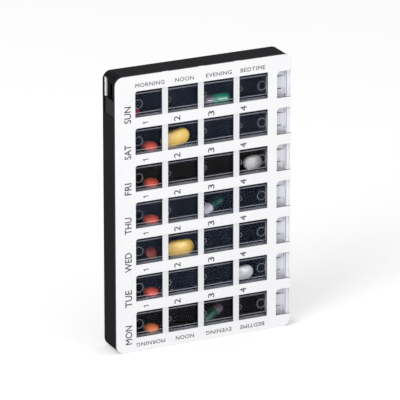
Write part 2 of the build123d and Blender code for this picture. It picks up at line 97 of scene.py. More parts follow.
@dataclass(frozen=True)
class CellGrid:
    """The columns of cells, from which rings, numbers and dots are placed. Sizes in millimetres."""

    left: float = -55.7
    pitch: float = 26.5
    columns: int = 4

    def start(self, column: int) -> float:
        """Where a column starts along X; the count of columns gives where the last one ends."""
        return self.left + column * self.pitch


class Term:
    """A number that changes over a surface: a node's output, with the sums of Python as Math nodes."""

    def __init__(self, graph: "ShaderGraph", socket: Socket) -> None:
        """Keep the graph that new nodes go to and the socket that gives the number."""
        self.graph = graph
        self.socket = socket

    def __add__(self, other: "Term | float") -> "Term":
        """The sum."""
        return self.graph.math("ADD", self, other)

    __radd__ = __add__

    def __sub__(self, other: "Term | float") -> "Term":
        """This less the other."""
        return self.graph.math("SUBTRACT", self, other)

    def __rsub__(self, other: float) -> "Term":
        """A number less this."""
        return self.graph.math("SUBTRACT", other, self)

    def __mul__(self, other: "Term | float") -> "Term":
        """The product."""
        return self.graph.math("MULTIPLY", self, other)

    __rmul__ = __mul__

    def __truediv__(self, other: "Term | float") -> "Term":
        """This divided by the other."""
        return self.graph.math("DIVIDE", self, other)

    def __pow__(self, other: float) -> "Term":
        """This to a power."""
        return self.graph.math("POWER", self, other)

    def __abs__(self) -> "Term":
        """The size without its sign."""
        return self.graph.math("ABSOLUTE", self)

    def __or__(self, other: "Term | float") -> "Term":
        """The larger of two masks."""
        return self.graph.math("MAXIMUM", self, other)

    def clamped(self) -> "Term":
        """This, held between 0 and 1."""
        return self.graph.math("ADD", self, 0.0, use_clamp=True)

    def soft_below(self, limit: float, width: float) -> "Term":
        """A mask of 1 well below a limit and 0 well above it, with a ramp of a width about it."""
        return ((limit + width / 2 - self) / width).clamped()

    def soft_above(self, limit: float, width: float) -> "Term":
        """A mask of 1 well above a limit and 0 well below it, with a ramp of a width about it."""
        return ((self - limit + width / 2) / width).clamped()

    def soft_between(self, low: float, high: float, width: float) -> "Term":
        """A mask of 1 between two limits and 0 outside them, with a ramp of a width about each."""
        return self.soft_above(low, width) * self.soft_below(high, width)

    def soft_near(self, place: float, reach: float, width: float) -> "Term":
        """A mask of 1 within a reach of a place and 0 further off, with a ramp of a width about its edges."""
        return abs(self - place).soft_below(reach, width)

    def centred(self) -> "Term":
        """This, from 0 to 1, moved to lie about 0."""
        return self - 0.5

    def varying(self, share: float) -> "Term":
        """A factor that this, from 0 to 1, moves about 1, by half a share each way."""
        return (1 - share / 2) + share * self


class ShaderGraph:
    """The nodes of a material or a world, made through one method."""

    def __init__(self, name: str, world: bool = False) -> None:
        """Start with no nodes.

        Args:
            name: The material's or the world's name.
            world: Whether it is a world.
        """
        self.owner = (bpy.data.worlds if world else bpy.data.materials).new(name)
        self.owner.use_nodes = True
        self.tree = self.owner.node_tree
        self.tree.nodes.clear()

    def add(
        self,
        kind: str,
        settings: dict[str, object] | None = None,
        sockets: dict[str | int, object] | None = None,
    ) -> bpy.types.Node:
        """Add a node: its settings first, then its sockets.

        Args:
            kind: The node's type.
            settings: The node's own settings by name.
            sockets: What each input takes, by name or number: a value, a Term or another node's socket.

        Returns:
            The new node.
        """
        node = self.tree.nodes.new(kind)
        for name, value in (settings or {}).items():
            setattr(node, name, value)
        for key, value in (sockets or {}).items():
            socket = node.inputs[key]
            if isinstance(value, Term):
                self.tree.links.new(value.socket, socket)
            elif isinstance(value, Socket):
                self.tree.links.new(value, socket)
            elif socket.type == "RGBA":
                socket.default_value = (*value, 1.0)
            else:
                socket.default_value = value
        return node

    def math(self, operation: str, *values: Term | float, use_clamp: bool = False) -> Term:
        """Add a Math node on some values and give its result."""
        settings = {"operation": operation, "use_clamp": use_clamp}
        return Term(self, self.add("ShaderNodeMath", settings, dict(enumerate(values))).outputs[0])

    def coordinates(self) -> Socket:
        """The object coordinates of the point that is shaded."""
        return self.add("ShaderNodeTexCoord").outputs["Object"]

    def place(self) -> tuple[Term, Term, Term]:
        """The object coordinates as three numbers, in metres."""
        split = self.add("ShaderNodeSeparateXYZ", sockets={0: self.coordinates()})
        return tuple(Term(self, output) for output in split.outputs)

    def rays(self, *kinds: str) -> Term:
        """A mask of 1 for the rays of some kinds and 0 for all others."""
        path = self.add("ShaderNodeLightPath").outputs
        return reduce(Term.__or__, [Term(self, path[f"Is {kind} Ray"]) for kind in kinds])

    def noise(self, feature: float, detail: float = 2.0) -> Term:
        """Noise of a feature size in millimetres, on object coordinates."""
        sockets = {"Vector": self.coordinates(), "Scale": 1 / (feature * MM), "Detail": detail}
        return Term(self, self.add("ShaderNodeTexNoise", sockets=sockets).outputs[0])

    def mix_colours(self, share: Term, first: Colour | Socket, second: Colour | Socket) -> Socket:
        """A colour between two, at a share of the way to the second."""
        sockets = {0: share, 6: first, 7: second}
        return self.add("ShaderNodeMix", {"data_type": "RGBA"}, sockets).outputs[2]

    def bump(self, height: Term, depth: float) -> Socket:
        """A normal that a height of 0 to 1, times a depth in millimetres, has tilted."""
        sockets = {"Distance": depth * MM, "Height": height}
        return self.add("ShaderNodeBump", sockets=sockets).outputs[0]

    def principled(self, sockets: dict[str | int, object]) -> Socket:
        """A Principled shader with some of its sockets set."""
        return self.add("ShaderNodeBsdfPrincipled", sockets=sockets).outputs[0]

    def mix_shaders(self, share: Term, first: Socket, second: Socket) -> Socket:
        """A shader between two, at a share of the way to the second."""
        return self.add("ShaderNodeMixShader", sockets={0: share, 1: first, 2: second}).outputs[0]

    def finish(self, shader: Socket) -> Material | bpy.types.World:
        """Link the last shader to the output.

        Args:
            shader: The last shader.

        Returns:
            The material or the world.
        """
        kind = "World" if isinstance(self.owner, bpy.types.World) else "Material"
        self.add(f"ShaderNodeOutput{kind}", sockets={"Surface": shader})
        return self.owner


@dataclass(frozen=True)
class MouldedPlastic:
    """Opaque moulded plastic: fine grain, slow mottling and a slightly uneven gloss. Sizes in millimetres."""

    name: str
    colour: Colour
    roughness: float
    gloss: float
    grain: float
    grain_depth: float
    mottling: float = 0.04
    refraction: float = 1.5
    patch: float = 18.0
    grain_detail: float = 3.0
    grain_dulling: float = 0.12
    patch_dulling: float = 0.06

    def base_colour(self, graph: ShaderGraph, patches: Term) -> Socket:
        """Give the colour, moved down and up by the mottling's share.

        Args:
            graph: The material's nodes.
            patches: The mottling's noise.

        Returns:
            The colour.
        """
        darker = tuple(channel * (1 - self.mottling) for channel in self.colour)
        lighter = tuple(min(channel * (1 + self.mottling), 1.0) for channel in self.colour)
        return graph.mix_colours(patches, darker, lighter)

    def material(self) -> Material:
        """Make the material.

        The grain is noise of the grain's size, which tilts the normal and roughens the gloss a little. The
        mottling is noise of the patches' size, which moves the colour and the gloss.

        Returns:
            The material.
        """
        graph = ShaderGraph(self.name)
        grain = graph.noise(self.grain, self.grain_detail)
        patches = graph.noise(self.patch)
        rough = self.roughness + self.grain_dulling * grain.centred() + self.patch_dulling * patches.centred()
        shader = graph.principled(
            {
                "Base Color": self.base_colour(graph, patches),
                "Roughness": rough,
                "IOR": self.refraction,
                "Specular IOR Level": self.gloss,
                "Normal": graph.bump(grain, self.grain_depth),
            }
        )
        return graph.finish(shader)


@dataclass(frozen=True)
class FacedPlastic(MouldedPlastic):
    """A plate of dark plastic with a pale front face, whose openings' cut sides are painted a middle grey.

    The plate's dark is its own, but its inner cut sides are painted lighter for the light on the windows'
    sills and jambs, and the bars set back between the windows are painted a greyer white for the shade
    on them. The face, the plate's middle height and the bars' middles are in metres, all other sizes in
    millimetres.
    """

    dark: Colour = (0.013, 0.0125, 0.015)
    # painted light: a grey lighter than the plate's dark, for the light that the windows' sills and jambs
    # catch
    cut: Colour = (0.1, 0.095, 0.115)
    cut_reach: tuple[float, float] = (65.4, 91.0)
    middle: float = 0.098
    face: float = -0.0105
    face_depth: float = 0.3
    # painted shade: the bars' white, darkened for the shade where they sit back between the windows
    strip: Colour = (0.81, 0.81, 0.83)
    strips: tuple[float, ...] = (-0.0285, -0.002, 0.0245)
    strip_reach: float = 2.15
    strip_ramp: float = 0.04
    strip_back: float = 0.9

    def base_colour(self, graph: ShaderGraph, patches: Term) -> Socket:
        """Give the pale colour near the front, painted shade on the bars and a dark one elsewhere.

        A point is on the front where its Y is within the face's depth of it. It is on a bar, painted in
        shade, where it is less than the reach from the bar's middle and in front of the bars' back. It is on
        a cut side, painted lighter for the light on it, where it lies further in than the plate's outer edge.

        Args:
            graph: The material's nodes.
            patches: The mottling's noise.

        Returns:
            The colour.
        """
        x, y, z = graph.place()
        pale = super().base_colour(graph, patches)
        across, up = self.cut_reach
        inside = abs(x).soft_below(across * MM, FINE) * z.soft_near(self.middle, up * MM, FINE)
        # painted light on the windows' inner cut sides
        colour = graph.mix_colours(inside, self.dark, self.cut)
        # painted shade on the bars between the windows
        strips = [x.soft_near(place, self.strip_reach * MM, self.strip_ramp * MM) for place in self.strips]
        in_bar_shade = reduce(Term.__or__, strips) * y.soft_below(self.face + self.strip_back * MM, FINE)
        colour = graph.mix_colours(in_bar_shade, colour, self.strip)
        return graph.mix_colours(y.soft_below(self.face + self.face_depth * MM, FINE), colour, pale)


@dataclass(frozen=True)
class ClearTone:
    """A row's tone: what its clear plastic lets through, its haze and the painted shade on its lid's ridge.
    """

    tint: Colour
    haze: Colour
    haze_share: float
    # painted shade: the dark tone painted on the lid's ridge
    ridge: Colour


@dataclass(frozen=True)
class Layer:
    """An opaque tone that is laid over clear plastic."""

    colour: Colour
    roughness: float
    gloss: float

    def shader(self, graph: ShaderGraph, normal: Socket) -> Socket:
        """The layer's shader, on the relief that the plastic has."""
        finish = {"Base Color": self.colour, "Roughness": self.roughness, "Specular IOR Level": self.gloss}
        return graph.principled({**finish, "Normal": normal})


Layers = list[tuple[Term, Layer]]


@dataclass(frozen=True)
class ClearPlastic:
    """Clear moulded plastic that lets lamps through, with a little haze and a milky grip end.

    The row's middle height is in metres, all other sizes are in millimetres.
    """

    name: str
    tone: ClearTone
    middle: float
    roughness: float = 0.04
    gloss: float = 0.03
    refraction: float = 1.12
    haze_roughness: float = 0.5
    flow_mark: float = 9.0
    flow_share: float = 0.3
    flow_dulling: float = 0.02
    ripple: float = 4.0
    ripple_detail: float = 1.0
    ripple_depth: float = 0.01
    let_through: Colour = (0.93, 0.93, 0.95)
    milk: Layer = Layer((0.9, 0.9, 0.95), 0.5, 0.2)
    milk_share: float = 0.5
    milk_from: float = 50.9
    milk_back: float = -3.9

    def layers(self, graph: ShaderGraph) -> Layers:
        """Give the layers over the clear plastic, the lowest first.

        Args:
            graph: The material's nodes.

        Returns:
            Each layer with a mask of where it lies: here the milky grip end alone.
        """
        x, y, _ = graph.place()
        at_grip = x.soft_above(self.milk_from * MM, WIDE) * y.soft_below(self.milk_back * MM, SOFT)
        return [(at_grip * self.milk_share, self.milk)]

    def material(self) -> Material:
        """Make the material.

        A clear shader and a diffuse one are mixed by the haze's share, which faint flow marks vary, and the
        layers are laid over them. Shadow rays meet a transparent shader instead, so that lamps reach what is
        inside.

        Returns:
            The material.
        """
        graph = ShaderGraph(self.name)
        flow = graph.noise(self.flow_mark)
        normal = graph.bump(graph.noise(self.ripple, self.ripple_detail), self.ripple_depth)
        clear = graph.principled(
            {
                "Base Color": self.tone.tint,
                "Roughness": self.roughness + self.flow_dulling * flow,
                "Transmission Weight": 1.0,
                "IOR": self.refraction,
                "Specular IOR Level": self.gloss,
                "Normal": normal,
            }
        )
        haze = Layer(self.tone.haze, self.haze_roughness, self.gloss).shader(graph, normal)
        shader = graph.mix_shaders(self.tone.haze_share * flow.varying(self.flow_share), clear, haze)
        for mask, layer in self.layers(graph):
            shader = graph.mix_shaders(mask, shader, layer.shader(graph, normal))
        passing = graph.add("ShaderNodeBsdfTransparent", sockets={0: self.let_through}).outputs[0]
        return graph.finish(graph.mix_shaders(graph.rays("Shadow"), shader, passing))


@dataclass(frozen=True)
class TrayPlastic(ClearPlastic):
    """One tray's clear plastic, with painted shade in its click slots and on the wall beside its grip end."""

    slot_middle: float = 58.4
    slot_length: float = 2.8
    slot_width: float = 0.9
    slot_spacing: float = 7.8
    slot_drop: float = 0.9
    slot_rim: float = 0.4
    plate: tuple[float, float] = (-5.3, -3.9)
    wall: tuple[float, float] = (49.65, 50.95)
    wall_front: float = -6.2
    wall_share: float = 0.85
    # painted shade: a dark tone for the shadow in the click slots and on the last cell's right wall
    stain: Layer = Layer((0.015, 0.018, 0.03), 0.4, 0.3)

    def layers(self, graph: ShaderGraph) -> Layers:
        """Add painted shade in the slots, on a narrow rim round them and on the last cell's right wall.

        A point is at a slot where its X, its Y and its distance from the slot's height are near it. It is in
        the wall where its X lies between the wall's sides and its Y behind the wall's front.

        Args:
            graph: The material's nodes.

        Returns:
            The layers of any clear plastic, with the painted shade over them.
        """
        x, y, z = graph.place()
        front, back = (side * MM for side in self.plate)
        left, right = (side * MM for side in self.wall)
        along, across = ((size / 2 + self.slot_rim) * MM for size in (self.slot_length, self.slot_width))
        away = abs(z - (self.middle - self.slot_drop * MM))
        at_slot = x.soft_near(self.slot_middle * MM, along, SOFT)
        at_slot = at_slot * away.soft_near(self.slot_spacing / 2 * MM, across, SOFT)
        in_wall = x.soft_between(left, right, FINE) * y.soft_above(self.wall_front * MM, SOFT)
        # where the shade is painted: in and round the slots, and on the wall
        in_painted_shade = y.soft_between(front, back, SOFT) * at_slot | in_wall * self.wall_share
        return super().layers(graph) + [(in_painted_shade, self.stain)]


@dataclass(frozen=True)
class LidPlastic(ClearPlastic):
    """One lid's clear plastic, with painted light along its panel's step and lower edge and on its moulded
    rings.

    The rings' places along the lid are in metres.
    """

    panel_low: float = -6.95
    panel_high: float = 6.55
    panel_left: float = -53.85
    panel_right: float = 47.7
    panel_front: float = -8.0
    lid_front: float = -7.3
    line: float = 0.4
    ring_places: tuple[tuple[float, float], ...] = ()
    ring_drop: float = 0.5
    ring_line: float = 0.3
    low_share: float = 0.95
    high_share: float = 0.5
    ring_share: float = 0.4
    streak: float = 2.5
    streak_detail: float = 1.0
    streak_share: float = 0.6
    edge_low: float = -8.8
    edge_ramp: float = 0.3
    edge_share: float = 0.22
    # painted highlight: a whitish tone for the light that the panel's edges and rings catch
    frost: Layer = Layer((0.8, 0.82, 0.9), 0.45, 0.4)
    # painted shade: where along the lid the ridge's dark tone is painted, how much of it, and its finish
    ridge: tuple[float, float] = (61.95, 62.5)
    ridge_share: float = 0.85
    ridge_finish: tuple[float, float] = (0.4, 0.3)

    def layers(self, graph: ShaderGraph) -> Layers:
        """Add painted shade on the ridge near the lid's right end, and the painted highlight lines.

        Args:
            graph: The material's nodes.

        Returns:
            The layers of any clear plastic, with the ridge's shade and then the highlights over them.
        """
        left, right = (side * MM for side in self.ridge)
        # painted shade on the ridge
        ridge_shade_mask = graph.place()[0].soft_between(left, right, SOFT) * self.ridge_share
        ridge = Layer(self.tone.ridge, *self.ridge_finish)
        return super().layers(graph) + [(ridge_shade_mask, ridge), (self.frosting(graph), self.frost)]

    def frosting(self, graph: ShaderGraph) -> Term:
        """Paint highlight lines along the panel's edges, circles on the rings and a faint band of light at
        the lid's lower edge.

        A line is where a height, or a place along the lid, is less than half the line's width away. A circle
        is where the distance from its centre differs from its radius by less than that. Both are on the front
        faces alone, and streaks vary them.

        Args:
            graph: The material's nodes.

        Returns:
            A mask of where the highlights and the band of light are painted.
        """
        x, y, z = graph.place()
        rise = z - self.middle
        half_line = self.line / 2 * MM
        low, high, right = self.panel_low * MM, self.panel_high * MM, self.panel_right * MM
        within = x.soft_between(self.panel_left * MM, right, WIDE)
        low_edge = rise.soft_near(low, half_line, SOFT) * within
        high_edge = rise.soft_near(high, half_line, SOFT) * within
        end = x.soft_near(right, half_line, SOFT) * rise.soft_between(low, high, SOFT)
        # painted highlights along the panel's step and its right end
        mask = (low_edge | end) * self.low_share | high_edge * self.high_share
        mask = mask * y.soft_below(self.lid_front * MM + FINE, FINE)
        on_panel = y.soft_below(self.panel_front * MM + FINE, FINE)
        # painted highlights on the rings
        for place, diameter in self.ring_places:
            away = ((x - place) ** 2 + (rise + self.ring_drop * MM) ** 2) ** 0.5
            radius = (diameter - self.ring_line) / 2 * MM
            ring = away.soft_near(radius, self.ring_line / 2 * MM, SOFT)
            mask = mask | ring * on_panel * self.ring_share
        mask = mask * graph.noise(self.streak, self.streak_detail).varying(self.streak_share)
        # with a faint band of painted light along the lid's lower edge
        return mask | rise.soft_below(self.edge_low * MM, self.edge_ramp * MM) * self.edge_share


@dataclass(frozen=True)
class FilmCoat:
    """A tablet's film coat: a satin shell over pressed powder, faintly speckled. Sizes in millimetres."""

    name: str
    colour: Colour
    shade: Colour
    roughness: float = 0.32
    gloss: float = 0.5
    coat: float = 0.3
    coat_roughness: float = 0.2
    cloud: float = 3.0
    cloud_detail: float = 3.0
    cloud_coat: float = 0.2
    cloud_dulling: float = 0.0
    grain: float = 0.35
    grain_detail: float = 2.0
    grain_depth: float = 0.02
    grain_dulling: float = 0.15

    def material(self) -> Material:
        """Make the material: large noise clouds the colour and the coat, and fine noise grains the relief.

        Returns:
            The material.
        """
        graph = ShaderGraph(self.name)
        clouds = graph.noise(self.cloud, self.cloud_detail)
        grain = graph.noise(self.grain, self.grain_detail)
        rough = self.roughness + self.grain_dulling * grain.centred() + self.cloud_dulling * clouds.centred()
        shader = graph.principled(
            {
                "Base Color": graph.mix_colours(clouds, self.colour, self.shade),
                "Roughness": rough,
                "Specular IOR Level": self.gloss,
                "Coat Weight": self.coat + self.cloud_coat * clouds,
                "Coat Roughness": self.coat_roughness,
                "Normal": graph.bump(grain, self.grain_depth),
            }
        )
        return graph.finish(shader)


@dataclass(frozen=True)
class Gelatine(FilmCoat):
    """A hard capsule's shell: dyed gelatine with a wet gloss, long clouds in the dye and a rippled relief."""

    roughness: float = 0.25
    gloss: float = 0.6
    coat: float = 0.7
    coat_roughness: float = 0.06
    cloud: float = 4.0
    cloud_detail: float = 2.0
    cloud_dulling: float = 0.06
    grain: float = 1.5
    grain_detail: float = 1.0
    grain_depth: float = 0.01
    grain_dulling: float = 0.0


@dataclass(frozen=True)
class PrintInk:
    """Pad-printed ink: matt, and a little thin in places. Sizes in millimetres."""

    name: str
    colour: Colour
    thin: Colour
    roughness: float = 0.5
    gloss: float = 0.3
    patch: float = 0.4
    patch_detail: float = 3.0
    patch_dulling: float = 0.2

    def material(self) -> Material:
        """Make the material: fine noise shows where the ink is thin.

        Returns:
            The material.
        """
        graph = ShaderGraph(self.name)
        cover = graph.noise(self.patch, self.patch_detail)
        shader = graph.principled(
            {
                "Base Color": graph.mix_colours(cover, self.colour, self.thin),
                "Roughness": self.roughness + self.patch_dulling * cover.centred(),
                "Specular IOR Level": self.gloss,
            }
        )
        return graph.finish(shader)


@dataclass(frozen=True)
class StudioFloor:
    """The pale floor under the box, seen as nearly white but for the box's shadow. Sizes in millimetres."""

    name: str
    colour: Colour
    lift: float
    cloth: float = 60.0
    darkening: float = 0.985

    def material(self) -> Material:
        """Make the material: a diffuse floor, to which camera, mirror and glass rays add plain light.

        Returns:
            The material.
        """
        graph = ShaderGraph(self.name)
        seen = graph.rays("Camera", "Glossy", "Transmission")
        darker = tuple(channel * self.darkening for channel in self.colour)
        colour = graph.mix_colours(graph.noise(self.cloth), darker, self.colour)
        matt = graph.add("ShaderNodeBsdfDiffuse", sockets={0: colour}).outputs[0]
        light = graph.add("ShaderNodeEmission", sockets={0: WHITE, 1: seen * self.lift}).outputs[0]
        return graph.finish(graph.add("ShaderNodeAddShader", sockets={0: matt, 1: light}).outputs[0])


@dataclass
class Shell:
    """A surface as points and the corners of its faces."""

    points: np.ndarray
    faces: list[list[int]]

    @classmethod
    def from_rings(cls, rings: np.ndarray) -> "Shell":
        """Close a stack of rings into a surface.

        Args:
            rings: Points of shape (rings, points around, 3). The first and last ring are shrunk to a point.

        Returns:
            Four-sided faces between neighbouring rings and a fan of triangles at each end.
        """
        count, around = rings.shape[:2]
        points = np.vstack([rings[0, :1], rings[1:-1].reshape(-1, 3), rings[-1, :1]])
        here = np.arange(around)
        after = np.roll(here, -1)
        ring = 1 + around * np.arange(count - 3)[:, None]
        above = ring + around
        sides = np.stack([ring + here, ring + after, above + after, above + here], axis=-1)
        last = 1 + around * (count - 3)
        first_fan = np.stack([np.zeros_like(here), 1 + after, 1 + here], axis=-1)
        last_fan = np.stack([last + here, last + after, np.full_like(here, len(points) - 1)], axis=-1)
        return cls(points, sides.reshape(-1, 4).tolist() + first_fan.tolist() + last_fan.tolist())

    @classmethod
    def joined(cls, shells: list["Shell"]) -> "Shell":
        """Join several surfaces.

        Args:
            shells: The surfaces.

        Returns:
            One surface, in which each part's corners are counted on from the last.
        """
        starts = np.cumsum([0] + [len(shell.points) for shell in shells[:-1]])
        faces = [
            [int(start) + corner for corner in face]
            for start, shell in zip(starts, shells)
            for face in shell.faces
        ]
        return cls(np.vstack([shell.points for shell in shells]), faces)

    def placed(self, across: Vector, up: Vector, middle: Vector) -> "Shell":
        """Set the surface in place.

        Args:
            across: Where the surface's own X axis points.
            up: Where its own Z axis points, square to the first.
            middle: Where its origin goes.

        Returns:
            The surface in the box's frame.
        """
        axes = np.array([across, up.cross(across), up])
        return Shell(self.points @ axes + np.array(middle), self.faces)


def circle(around: int) -> np.ndarray:
    """Pairs of the cosine and the sine of a number of equal turns."""
    turn = np.linspace(0, 2 * pi, around, endpoint=False)
    return np.stack([np.cos(turn), np.sin(turn)], axis=-1)


def carried(outline: np.ndarray, profile: np.ndarray) -> Shell:
    """Carry an outline up an axis.

    Args:
        outline: Pairs of X and Y round the axis.
        profile: Pairs of a spread and a height, from a point on the axis to another above it.

    Returns:
        The surface whose X and Y are the outline's times the spread, and whose Z is the height.
    """
    flat = profile[:, None, :1] * outline
    height = np.broadcast_to(profile[:, None, 1:], (*flat.shape[:2], 1))
    return Shell.from_rings(np.concatenate([flat, height], axis=-1))


def add_piece(
    name: str,
    shell: Shell,
    material: Material,
    body: str,
    replaced: tuple[str, ...] = (),
) -> None:
    """Put a surface into the scene as a piece of the box.

    Args:
        name: The piece's name.
        shell: Its surface, in the box's frame.
        material: Its finish.
        body: The body that it moves with.
        replaced: The nodes that it stands for.
    """
    mesh = bpy.data.meshes.new(name)
    mesh.from_pydata(shell.points.tolist(), [], shell.faces)
    mesh.update()
    mesh.polygons.foreach_set("use_smooth", [True] * len(mesh.polygons))
    mesh.set_sharp_from_angle(angle=SMOOTHED_ANGLE)
    mesh.materials.append(material)
    piece = bpy.data.objects.new(name, mesh)
    bpy.context.scene.collection.objects.link(piece)
    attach(piece, body)
    if replaced:
        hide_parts(*replaced)
    LOG.info("piece %s on %s: %d faces", name, body, len(mesh.polygons))


def dress(node: str, material: Material, bevel: float = 0.0) -> None:
    """Give a node of the frame its finish and, where asked, soft edges.

    Args:
        node: The node's name.
        material: Its finish.
        bevel: The width in millimetres that its edges are softened by, or 0 to leave them.
    """
    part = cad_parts[node]
    part.data.materials.clear()
    part.data.materials.append(material)
    if bevel:
        weld = part.modifiers.new("weld", "WELD")
        weld.merge_threshold = WELD_REACH
        soften = part.modifiers.new("soft_edges", "BEVEL")
        soften.width = bevel * MM
        soften.segments = SOFTENED_STEPS
        soften.limit_method = "ANGLE"
        soften.angle_limit = SOFTENED_ANGLE
        soften.use_clamp_overlap = True
        soften.harden_normals = True
    LOG.info("node %s dressed in %s", node, material.name)


@dataclass
class CaseShell:
    """The black back case, the white cover with its rail and hooks, and the white strip beside the lock.

    The widths of the softened edges are in millimetres.
    """

    black: MouldedPlastic = MouldedPlastic(
        "black_shell", (0.0095, 0.009, 0.011), 0.5, 0.04, 0.5, 0.006, 0.08, refraction=1.25
    )
    white: FacedPlastic = FacedPlastic("white_cover", (0.9, 0.9, 0.91), 0.42, 0.25, 0.6, 0.006, 0.01)
    dots: MouldedPlastic = MouldedPlastic("white_dots", (0.9, 0.9, 0.91), 0.38, 0.25, 0.5, 0.004, 0.01)
    strip: MouldedPlastic = MouldedPlastic("white_strip", (0.86, 0.86, 0.9), 0.4, 0.3, 0.5, 0.006, 0.01)
    case_edge: float = 0.25
    cover_edge: float = 0.15

    def dress(self) -> Material:
        """Finish the nodes.

        Returns:
            The raised dots' material.
        """
        black = self.black.material()
        dress("back_case", black, self.case_edge)
        dress("front_cover", self.white.material(), self.cover_edge)
        dress("cover_rail", black)
        dress("cover_hooks", black)
        dress("lock_indicator", self.strip.material())
        return self.dots.material()


@dataclass
class SideLock:
    """The lock's thumb block with its bar and teeth behind the wall. The edge is in millimetres."""

    plastic: MouldedPlastic = MouldedPlastic(
        "black_lock", (0.012, 0.0112, 0.015), 0.42, 0.1, 0.4, 0.008, 0.06, refraction=1.35
    )
    edge: float = 0.12

    def dress(self) -> None:
        """Finish the nodes."""
        material = self.plastic.material()
        dress("lock_grip", material, self.edge)
        dress("lock_bar", material)
        dress("lock_teeth", material)


@dataclass(frozen=True)
class TabletShape:
    """A pressed tablet: an outline, a straight rim and two crowned faces. Sizes in millimetres."""

    length: float
    width: float
    thick: float
    rim: float = 2.0
    crown_power: float = 1.5
    steepness: float = 8.0
    around: int = 96
    steps: int = 22

    def shell(self) -> Shell:
        """Work out the surface, with the faces up and down and the length along X.

        The outline at a turn is half the width times (cos, sin), with the straight stretch added to X but
        where the cosine is close to 0. At an angle from the middle of a face, the ring is the outline times
        its sine, at half the rim plus the crown times its cosine to the crown's power.

        Returns:
            The surface, about its own middle.
        """
        turns = circle(self.around)
        outline = self.width / 2 * turns
        outline[:, 0] += (self.length - self.width) / 2 * np.clip(self.steepness * turns[:, 0], -1, 1)
        angle = np.linspace(0, pi / 2, self.steps)
        spread = np.concatenate([np.sin(angle), np.sin(angle)[::-1]])
        crown = self.rim / 2 + (self.thick - self.rim) / 2 * np.cos(angle).clip(0) ** self.crown_power
        height = np.concatenate([-crown, crown[::-1]])
        return carried(outline * MM, np.stack([spread, height * MM], axis=-1))


@dataclass(frozen=True)
class CapsuleShape:
    """A two-piece hard capsule: a cap that closes over a narrower body. Sizes in millimetres."""

    cap: float = 7.65
    body: float = 7.3
    rim: float = 0.15
    cap_length: float = 9.6
    body_length: float = 4.7
    lock_groove: float = 1.7
    lock_depth: float = 0.12
    lock_width: float = 0.35
    around: int = 72
    wall_steps: int = 60
    end_steps: int = 24

    def half(self, diameter: float, length: float, grooved: bool) -> Shell:
        """Work out one half, from the joint at its origin up to its round end.

        The wall is a cylinder whose radius is drawn in at the rim and, on the cap, in a shallow bell-shaped
        groove; the end is a half sphere.

        Args:
            diameter: The half's diameter in millimetres.
            length: The length of its straight wall in metres.
            grooved: Whether it has the groove that locks the halves together.

        Returns:
            The closed surface.
        """
        radius = diameter / 2
        wall = np.linspace(0, length / MM, self.wall_steps)
        drawn_in = self.rim * np.exp(-wall / self.rim)
        if grooved:
            bell = np.exp(-(((wall - self.lock_groove) / self.lock_width) ** 2))
            drawn_in = drawn_in + self.lock_depth * bell
        angle = np.linspace(0, pi / 2, self.end_steps)[1:]
        spread = np.concatenate([[0.0], radius - drawn_in, radius * np.cos(angle).clip(0)])
        height = np.concatenate([[0.0], wall, length / MM + radius * np.sin(angle)])
        return carried(circle(self.around), np.stack([spread, height], axis=-1) * MM)


